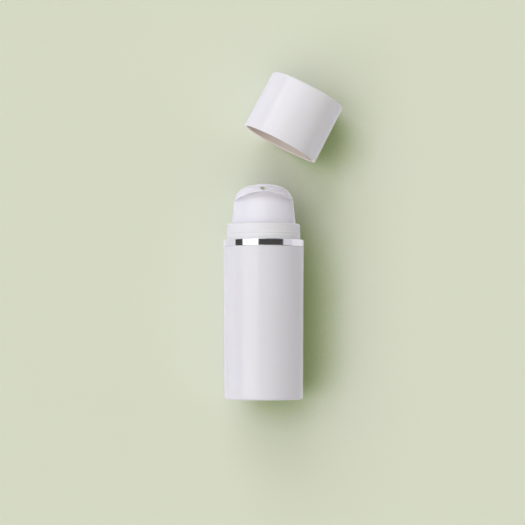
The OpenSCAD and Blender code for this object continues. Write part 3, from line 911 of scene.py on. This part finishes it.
@dataclass(frozen=True)
class PumpHead:
    """The finger head, with a visor over its recessed front and one orifice in the visor.

    Its outside is a leaning side, a round and a crown, each tangent to the next. A leaning cone
    cuts the front back, up to the arch of the visor.
    """

    skirt_bottom: float = 75.0
    base: float = 76.7
    top: float = 94.4
    skirt_radius: float = 14.05
    lean: float = 6.5
    side_round: float = 8.0
    crown: float = 24.0
    wall: float = 1.2
    ceiling: float = 88.0
    foot_edge: float = 0.25
    foot_bevel: Pair = (0.08, 0.17)
    inner_edge: float = 0.2

    # The visor and the front that it shelters.
    visor_drop: float = 4.05
    visor_arch: float = 24.0
    front_lean: float = 16.0
    cone_radius: float = 16.3
    front_depth: float = 14.1
    cone_slope: float = 0.095
    blend: float = 0.2
    under_round: float = 3.0
    under_share: float = 1.6
    root_share: float = 0.6
    lip_round: float = 0.5
    lip_share: float = 0.35
    lip_run: float = 0.6
    least_depth: float = 1e-5
    shallow_depth: float = 0.01

    # The socket for the stem, and what the cutters take away.
    socket_bottom: float = 80.4
    socket_top: float = 86.65
    socket_radius: float = 2.65
    socket_wall: float = 1.3
    socket_fillet: float = 0.3
    orifice_radius: float = 1.5
    orifice_drop: float = 2.1
    orifice_lean: float = 35.0
    orifice_depth: float = 1.5
    orifice_lip: float = 0.28
    flare_height: float = 1.5
    flare_sink: float = 0.02
    hole_height: float = 1.0
    hole_round: float = 0.3
    channel_radius: float = 1.0
    channel_start: float = 87.4
    channel_over: float = 0.4

    # The mesh: columns round the axis, and rows down each.
    columns: int = 320
    crown_rows: int = 54
    crown_bias: float = 1.15
    lip_steps: int = 7
    under_steps: int = 10
    front_rows: int = 45
    inner_rows: int = 24
    halvings: int = 40
    orifice_sectors: int = 64
    channel_sectors: int = 40
    rim_arc_step: float = 8.0

    def __post_init__(self) -> None:
        """Finds the round's centre and the lengths of the outline's three runs."""
        lean = math.radians(self.lean)
        centre = self.top - self.crown
        start = Vector((
            self.skirt_radius - self.side_round * math.cos(lean),
            self.base - self.side_round * math.sin(lean) - centre,
        ))
        upward = Vector((-math.sin(lean), math.cos(lean)))
        reach = self.crown - self.side_round
        along = start.dot(upward)
        run = -along + math.sqrt(along**2 - start.length_squared + reach**2)
        round_centre = start + run * upward
        object.__setattr__(self, "round_centre", (round_centre.x, round_centre.y + centre))
        object.__setattr__(self, "round_tilt", math.atan2(round_centre.x, round_centre.y))
        round_run = self.side_round * (math.pi / 2 - lean - self.round_tilt)
        object.__setattr__(self, "runs", (run, round_run, self.crown * self.round_tilt))

    def on_outline(self, run: float) -> Pair:
        """The outline's radius and height at a distance along it from the top of the collar.

        Args:
            run: the distance; below zero it goes down the skirt.

        Returns:
            The radius and the height.
        """
        lean = math.radians(self.lean)
        side, rounding, crown = self.runs
        if run < 0:
            return self.skirt_radius, self.base + run
        if run < side:
            return self.skirt_radius - run * math.sin(lean), self.base + run * math.cos(lean)
        if run < side + rounding:
            angle = lean + (run - side) / self.side_round
            return (
                self.round_centre[0] + self.side_round * math.cos(angle),
                self.round_centre[1] + self.side_round * math.sin(angle),
            )
        angle = self.round_tilt - min(run - side - rounding, crown) / self.crown
        return self.crown * math.sin(angle), self.top - self.crown + self.crown * math.cos(angle)

    def outline_radius(self, height: float) -> float:
        """The outline's radius at a height, on the side or the round.

        Args:
            height: the height.

        Returns:
            The radius.
        """
        lean = math.radians(self.lean)
        if height <= self.base:
            return self.skirt_radius
        if height <= self.round_centre[1] + self.side_round * math.sin(lean):
            return self.skirt_radius - (height - self.base) * math.tan(lean)
        rise = min((height - self.round_centre[1]) / self.side_round, 1.0)
        return self.round_centre[0] + self.side_round * math.cos(math.asin(rise))

    def cone_radius_at(self, angle: float, height: float) -> float:
        """The radius at which the leaning front cone is met.

        Args:
            angle: the angle round the axis from the front.
            height: the height.

        Returns:
            The radius from the bottle's axis.
        """
        lean = math.radians(self.front_lean)
        rise = height - self.base + self.cone_radius * math.sin(lean)
        back = (self.cone_radius - self.front_depth) * math.cos(lean)
        a = rise * math.cos(lean) - back * math.sin(lean)
        b = math.cos(angle) * math.sin(lean)
        steep, taper = 1 + self.cone_slope**2, self.cone_radius * self.cone_slope
        square = 1 - steep * b * b
        linear = 2 * (back * math.cos(angle) + steep * a * b - taper * b)
        rest = back**2 + rise**2 - steep * a * a + 2 * taper * a - self.cone_radius**2
        return (-linear + math.sqrt(linear**2 - 4 * square * rest)) / (2 * square)

    def front_radius(self, angle: float, height: float) -> float:
        """The radius of the side or the recessed front, blended where the two meet.

        Args:
            angle: the angle round the axis from the front.
            height: the height.

        Returns:
            The radius.
        """
        side, cone = self.outline_radius(height), self.cone_radius_at(angle, height)
        near = max(self.blend - abs(side - cone), 0.0) / self.blend
        return min(side, cone) - near * near * self.blend / 4

    def arch(self, angle: float, radius: float) -> float:
        """The height of the visor's underside at an angle and a radius."""
        across = min(abs(radius * math.sin(angle)), self.visor_arch)
        return self.top - self.visor_drop - self.visor_arch + math.sqrt(self.visor_arch**2 - across**2)

    def _halve(self, low: float, high: float, under: Callable[[float], bool]) -> float:
        """Finds by halving where a test turns from true to false.

        Args:
            low: a value that passes the test.
            high: a value that fails it.
            under: the test.

        Returns:
            The value between them.
        """
        for _ in range(self.halvings):
            middle = (low + high) / 2
            low, high = (middle, high) if under(middle) else (low, middle)
        return (low + high) / 2

    def _under_arch(self, angle: float, radius: float, height: float) -> bool:
        """Whether a point is below the visor's underside."""
        return height < self.arch(angle, radius)

    def _lip_run(self, angle: float) -> float:
        """How far along the outline the visor's edge meets it, at an angle from the front."""
        longest = self.runs[0] + self.runs[1]
        return self._halve(0.0, longest, lambda run: self._under_arch(angle, *self.on_outline(run)))

    def _root_height(self, angle: float) -> float:
        """The height at which the front meets the visor's underside, at an angle from the front."""
        highest = self.top - self.visor_drop + self.shallow_depth

        def under(height: float) -> bool:
            """Whether the front at this height is below the underside."""
            return self._under_arch(angle, self.front_radius(angle, height), height)

        return self._halve(self.base, highest, under)

    @staticmethod
    def _bend(before: Vector, corner: Vector, after: Vector, reach: Pair, count: int) -> list[Pair]:
        """Rounds a corner of a column.

        Args:
            before: a point on the run that comes in.
            corner: the corner.
            after: a point on the run that goes out.
            reach: how far before and after the corner the rounding runs.
            count: the number of steps.

        Returns:
            The points of the rounding.
        """
        start = corner + (before - corner).normalized() * reach[0]
        end = corner + (after - corner).normalized() * reach[1]
        made = []
        for step in range(count + 1):
            part = step / count
            point = start.lerp(corner, part).lerp(corner.lerp(end, part), part)
            made.append((point.x, point.y))
        return made

    def column(self, angle: float) -> list[Pair]:
        """The section of the head at one angle, from the pole of the crown round to the socket.

        Args:
            angle: the angle round the axis from the front.

        Returns:
            The radii and heights, the same number at every angle.
        """
        lip_run, root = self._lip_run(angle), self._root_height(angle)
        lip = Vector(self.on_outline(lip_run))
        inner = Vector((self.front_radius(angle, root), root))
        depth = max((lip - inner).length, self.least_depth)
        over = min(self.lip_round, self.lip_share * depth)
        under = min(self.under_round, self.under_share * depth)
        total = sum(self.runs)
        made = []
        for step in range(self.crown_rows):
            part = (1 - step / self.crown_rows) ** self.crown_bias
            made.append(self.on_outline(lip_run + over + (total - lip_run - over) * part))
        above = Vector(self.on_outline(lip_run + self.lip_run))
        below = Vector((self.front_radius(angle, root - under), root - under))
        flat = depth <= self.shallow_depth
        made += self._bend(above, lip, below if flat else inner, (over, over), self.lip_steps)
        reach = (self.root_share * depth, under)
        made += self._bend(above if flat else lip, inner, below, reach, self.under_steps)
        edge, (bevel_in, bevel_down) = self.foot_edge, self.foot_bevel
        foot = self.skirt_bottom + edge
        for step in range(1, self.front_rows + 1):
            height = root - under + (foot - root + under) * step / self.front_rows
            made.append((self.front_radius(angle, height), height))
        radius, soft = self.skirt_radius, self.inner_edge
        made += [(radius - bevel_in, foot - bevel_down), (radius - edge, foot - edge)]
        made += [(radius - self.wall + soft, foot - edge), (radius - self.wall, foot)]
        for step in range(1, self.inner_rows + 1):
            height = foot + (self.ceiling - foot) * step / self.inner_rows
            made.append((self.front_radius(angle, height) - self.wall, height))
        bore, low = self.socket_radius, self.socket_bottom
        socket, fillet = bore + self.socket_wall, self.socket_fillet
        made += [(socket + fillet, self.ceiling), (socket, self.ceiling - fillet), (socket, low + soft)]
        made += [(socket - soft, low), (bore + soft, low), (bore, low + soft), (bore, self.socket_top)]
        return made

    def shell(self) -> Piece:
        """Lofts the columns round the axis into one closed mesh.

        Returns:
            The object, without its orifice.
        """
        turns = [math.tau * number / self.columns for number in range(self.columns)]
        points = [Vector((0, self.top, 0))]
        for angle in turns:
            column = self.column(angle)
            points += [around(radius, height, angle) for radius, height in column[1:]]
        points.append(Vector((0, self.socket_top, 0)))
        rows, last = len(column) - 1, len(points) - 1
        faces = []
        for number in range(self.columns):
            here, there = 1 + number * rows, 1 + (number + 1) % self.columns * rows
            faces.append((0, here, there))
            faces += [(here + k, here + k + 1, there + k + 1, there + k) for k in range(rows - 1)]
            faces.append((here + rows - 1, last, there + rows - 1))
        made = add_mesh("head_shell", [MM * point for point in points], faces)
        made.data.polygons.foreach_set("use_smooth", [True] * len(faces))
        return made

    @staticmethod
    def _aimed(origin: Vector, way: Vector) -> Matrix:
        """The placement that stands an upright turning at origin, along way."""
        turn = Vector((0, 1, 0)).rotation_difference(way)
        return Matrix.Translation(origin) @ turn.to_matrix().to_4x4()

    @staticmethod
    def _plug(radius: float, low: float, high: float, rounding: float = 0.0) -> Outline:
        """The outline of a pin that leaves a bored face."""
        corners = ((0, high, 0), (radius, high, 0), (radius, low, rounding), (0, low, 0))
        return Outline(tuple(Corner(*corner, Zone.INSIDE) for corner in corners), closed=False)

    def cutters(self) -> list[Piece]:
        """Turns what the orifice, its rounded rim and the channel behind it take away.

        Returns:
            The three cutters.
        """
        drop = self.orifice_drop
        forward = math.sqrt(self.crown**2 - (self.crown - drop) ** 2)
        mouth = Vector((0, self.top - drop, forward))
        upright = (mouth - Vector((0, self.top - self.crown, 0))).normalized()
        lean = math.radians(self.orifice_lean)
        bore = Vector((0, math.cos(lean), math.sin(lean)))
        floor = mouth - bore * self.orifice_depth
        start = Vector((0, self.channel_start, 0))
        rim, radius = self.orifice_lip, self.orifice_radius
        sink, proud = self.flare_sink, self.flare_height
        flare = Outline((
            Corner(0, proud),
            Corner(radius + rim, proud),
            Corner(radius + rim, sink),
            Corner(radius, sink, rim),
            Corner(radius, -2 * rim),
            Corner(0, -2 * rim),
        ), closed=False, arc_step=self.rim_arc_step)
        hole = self._plug(radius - sink, -self.orifice_depth, self.hole_height, self.hole_round)
        length = (floor - start).length
        channel = self._plug(self.channel_radius, 0, length + self.channel_over)
        inward = (floor - start).normalized()
        return [
            Lathe(self.orifice_sectors, self._aimed(mouth, upright)).piece("rim_cutter", flare),
            Lathe(self.orifice_sectors, self._aimed(mouth, bore)).piece("hole_cutter", hole),
            Lathe(self.channel_sectors, self._aimed(start, inward)).piece("channel_cutter", channel),
        ]

    def build(self, finishes: Finishes) -> Piece:
        """Builds the head, bores its orifice, and dresses and seats it.

        Args:
            finishes: the finishes.

        Returns:
            The piece.
        """
        made = self.shell()
        # The faces that the hole and the channel cut take index 1, the bore's painted shade.
        finishes.dress(made, "head_white", "head_bore_shade")
        cutters = self.cutters()
        for cutter in cutters:
            cut = made.modifiers.new(cutter.name, "BOOLEAN")
            cut.operation, cut.object, cut.solver = "DIFFERENCE", cutter, "EXACT"
        bpy.context.view_layer.update()
        bored = bpy.data.meshes.new_from_object(made.evaluated_get(bpy.context.evaluated_depsgraph_get()))
        made.modifiers.clear()
        made.data = bored
        for cutter in cutters:
            bpy.data.objects.remove(cutter)
        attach(made, Body.HEAD.value)
        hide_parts("actuator")
        return made


# The pieces inside.


@dataclass(frozen=True)
class InnerPump:
    """The pieces that keep the frame's own meshes: the plug below, and the pump inside."""

    worn: tuple[tuple[str, str], ...] = (
        ("base_plug", "body_white"),
        ("follower_piston", "soft_seal"),
        ("neck_closure", "natural_inside"),
        ("neck_gasket", "gasket_grey"),
        ("pump_housing", "natural_inside"),
        ("valve_ball", "spring_wire"),
        ("valve_retainer", "natural_inside"),
        ("return_spring", "spring_wire"),
        ("piston_rod", "natural_inside"),
        ("pump_piston", "soft_seal"),
        ("pump_stem", "natural_inside"),
        ("stem_guide", "natural_inside"),
    )
    spring_foot: float = 59.0
    press: float = 4.2

    def dress(self, nodes: dict[str, Piece], finishes: Finishes) -> list[str]:
        """Gives each kept piece its finish, and gives the spring a mesh of its own.

        Args:
            nodes: the frame's objects by name.
            finishes: the finishes.

        Returns:
            The names of the pieces.
        """
        for name, finish in self.worn:
            finishes.dress(nodes[name], finish)
        spring = nodes["return_spring"]
        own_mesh(spring)
        return [name for name, _ in self.worn]


# The studio.


@dataclass(frozen=True)
class Glow:
    """A patch of the sky that gives light, in angles seen along the bottle.

    Args:
        side: from and to, in degrees from overhead toward +X.
        along: from and to, in degrees from square toward +Y.
        light: its brightness in red, green and blue.
        edge: how wide its soft edge is, in degrees.
    """

    side: Pair
    along: Pair
    light: Colour
    edge: float = 6.0


@dataclass(frozen=True)
class Studio:
    """The paper table, the sky that lights it, and the camera above.

    Its reaches, wall heights and clip are in metres. Its other lengths are in millimetres.
    """

    floor_height: float = -17.5
    floor_reach: float = 30.0
    floor_drift: float = 1.006
    floor_bump: float = 0.3
    floor_roughness: float = 0.95
    floor_sheen: float = 0.1
    wall_reach: float = 28.0
    wall_sides: int = 96
    wall_heights: Pair = (-2.0, 40.0)
    floor_colour: Colour = (0.766, 0.806, 0.648)
    lit_colour: Colour = (0.665, 0.701, 0.546)
    # The contact colours paint a shadow on the paper beside the bottle and the cap, in its mirrored look too.
    contact_shadow_colour: Colour = (0.369, 0.484, 0.195)
    contact_shadow_mirrored: Colour = (0.35, 0.35, 0.35)
    contact_reach: float = 0.03
    contact_edges: Pair = (0.4, 0.84)
    contact_samples: int = 8
    contact_side: Triple = (-0.716, 0.537, 0.447)
    bounced_colour: Colour = (0.78, 0.77, 0.82)
    mirrored_colour: Colour = (0.92, 0.91, 0.96)
    ambient: Colour = (0.07, 0.07, 0.07)
    glows: tuple[Glow, ...] = (
        Glow((-47, -30), (9, 24), (1.42, 1.42, 1.56)),
        Glow((-30, -13), (9, 24), (1.24, 1.27, 1.39)),
        Glow((-47, -30), (24, 38), (0.85, 0.84, 0.89)),
        Glow((-30, -13), (24, 38), (0.53, 0.51, 0.6)),
        Glow((-66, -47), (9, 38), (1.89, 2.02, 1.75)),
        Glow((-13, 8), (11, 34), (0.39, 0.48, 0.16)),
        Glow((-63, -16), (-9, 9), (1.7, 1.7, 1.7), 1.5),
        Glow((-60, -30), (-40, -9), (1.94, 1.87, 1.99)),
        Glow((-30, 0), (-40, -9), (1.53, 1.64, 1.53)),
        Glow((-60, 0), (-70, -40), (0.53, 0.4, 0.5)),
        Glow((0, 58), (-60, -9), (0.61, 0.59, 0.48)),
        Glow((8, 58), (11, 50), (0.44, 0.41, 0.4)),
        Glow((-60, 8), (38, 70), (2.48, 2.43, 2.69)),
        Glow((58, 94), (-9, 50), (0.7, 0.69, 0.74), 3.0),
    )
    eye: Triple = (-0.57, 30.7, 808.0)
    aim: Triple = (-0.57, 59.9, 0.0)
    lens: float = 126.2
    sensor: float = 36.0
    clip: Pair = (0.01, 100.0)

    def floor(self, effects: Effects) -> Piece:
        """Lays the paper that the bottle lies on, with a painted shadow beside the bottle and the cap.

        Args:
            effects: the shared effects.

        Returns:
            The floor.
        """
        reach, height = self.floor_reach, self.floor_height * MM
        corners = ((-reach, -reach), (reach, -reach), (reach, reach), (-reach, reach))
        made = add_mesh("floor_paper", [(x, y, height) for x, y in corners], [(0, 1, 2, 3)])
        paper, tree = new_material("paper_green")
        grain = effects.paper.place(tree)
        paler = tuple(self.floor_drift * part for part in self.floor_colour)
        colour = tree.mix(grain.outputs["Cloud"], (*self.floor_colour, 1.0), (*paler, 1.0))
        ray = tree.node("ShaderNodeLightPath").outputs
        # Painted shadow: an occlusion mask darkens the paper toward the contact colour beside the pieces.
        side = tree.node("ShaderNodeCombineXYZ", dict(enumerate(self.contact_side))).outputs[0]
        contact = tree.node(
            "ShaderNodeAmbientOcclusion",
            {"Distance": self.contact_reach, "Normal": side},
            samples=self.contact_samples,
        )
        clear = tree.step(contact.outputs["AO"], *self.contact_edges)
        shaded = tree.mix(clear, (*self.contact_shadow_colour, 1.0), colour)
        shader = tree.node(
            "ShaderNodeBsdfPrincipled",
            {
                "Base Color": tree.mix(ray["Is Camera Ray"], (*self.bounced_colour, 1.0), shaded),
                "Roughness": self.floor_roughness,
                "Specular IOR Level": self.floor_sheen,
                "Normal": tree.bump(grain.outputs["Height"], self.floor_bump),
            },
        )
        # Painted shadow in reflections too: the mirrored paper darkens beside the pieces.
        mirrored = tree.mix(clear, (*self.contact_shadow_mirrored, 1.0), (*self.mirrored_colour, 1.0))
        pale = tree.node("ShaderNodeEmission", {"Color": mirrored})
        inputs = {0: ray["Is Glossy Ray"], 1: shader.outputs[0], 2: pale.outputs[0]}
        tree.surface(tree.node("ShaderNodeMixShader", inputs))
        made.data.materials.append(paper)
        return made

    def backdrop(self) -> Piece:
        """Stands a far round wall in the floor's colour, which only the camera sees.

        Returns:
            The wall.
        """
        reach, count = self.wall_reach, self.wall_sides
        turns = [math.tau * k / count for k in range(count)]
        ring = [(reach * math.cos(turn), reach * math.sin(turn)) for turn in turns]
        points = [(x, y, height) for height in self.wall_heights for x, y in ring]
        faces = [(k, (k + 1) % count, count + (k + 1) % count, count + k) for k in range(count)]
        made = add_mesh("backdrop_wall", points, faces)
        for ray in ("diffuse", "glossy", "transmission", "shadow"):
            setattr(made, f"visible_{ray}", False)
        plain, tree = new_material("backdrop_green")
        tree.surface(tree.node("ShaderNodeEmission", {"Color": (*self.lit_colour, 1.0), "Strength": 1.0}))
        made.data.materials.append(plain)
        return made

    @staticmethod
    def _patch(tree: Tree, side: object, along: object, glow: Glow) -> Socket:
        """The mask of one patch of the sky.

        Args:
            tree: the world's tree.
            side: the angle from overhead toward +X, in degrees.
            along: the angle toward +Y, in degrees.
            glow: the patch.

        Returns:
            A mask from 0 to 1.
        """
        mask = None
        for angle, (low, high) in ((side, glow.side), (along, glow.along)):
            rise = tree.step(angle, low - glow.edge / 2, low + glow.edge / 2)
            fall = tree.step(angle, high + glow.edge / 2, high - glow.edge / 2)
            both = tree.product(rise, fall)
            mask = both if mask is None else tree.product(mask, both)
        return mask

    def sky(self) -> None:
        """Paints the world: patches of soft light, and an even dim light elsewhere."""
        world = bpy.data.worlds.new("studio_sky")
        world.use_nodes = True
        bpy.context.scene.world = world
        tree = Tree(world.node_tree)
        way = tree.node("ShaderNodeTexCoord").outputs["Generated"]
        x, y, z = tree.node("ShaderNodeSeparateXYZ", {0: way}).outputs
        side = tree.product(tree.maths("ARCTAN2", x, z), math.degrees(1))
        along = tree.product(tree.maths("ARCSINE", y), math.degrees(1))
        colour = (*self.ambient, 1.0)
        for glow in self.glows:
            lit = tree.mix(self._patch(tree, side, along, glow), BLACK, (*glow.light, 1.0))
            colour = tree.mix(1.0, colour, lit, "ADD")
        light = tree.node("ShaderNodeBackground", {"Color": colour, "Strength": 1.0})
        tree.node("ShaderNodeOutputWorld", {"Surface": light.outputs[0]})

    def camera(self) -> Piece:
        """Hangs the camera above the table, leaning as the photographer's did.

        Returns:
            The camera.
        """
        data = bpy.data.cameras.new("camera_above")
        data.lens, data.sensor_width = self.lens, self.sensor
        data.clip_start, data.clip_end = self.clip
        made = add_object("camera_above", data)
        eye, aim = MM * Vector(self.eye), MM * Vector(self.aim)
        made.location = eye
        made.rotation_mode = "QUATERNION"
        made.rotation_quaternion = (aim - eye).to_track_quat("-Z", "Y")
        bpy.context.scene.camera = made
        return made

    def build(self, effects: Effects) -> None:
        """Sets up the floor, the wall, the light and the camera.

        Args:
            effects: the shared effects.
        """
        self.floor(effects)
        self.backdrop()
        self.sky()
        self.camera()
        bpy.context.scene.view_settings.view_transform = "Standard"


def main() -> None:
    """Loads the frame, builds the bottle's pieces in order, and sets up the studio."""
    logging.basicConfig(level=logging.INFO, format="%(message)s")
    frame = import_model()
    effects = Effects()
    finishes = Finishes(effects)
    made = Bottle().build(finishes)
    made.append(PumpHead().build(finishes))
    made.append(Overcap().build(finishes))
    for piece in made:
        log.info("%s: %d faces", piece.name, len(piece.data.polygons))
    for name in InnerPump().dress(frame["nodes"], finishes):
        log.info("%s: finish laid on", name)
    Studio().build(effects)


if __name__ == "__main__":
    main()
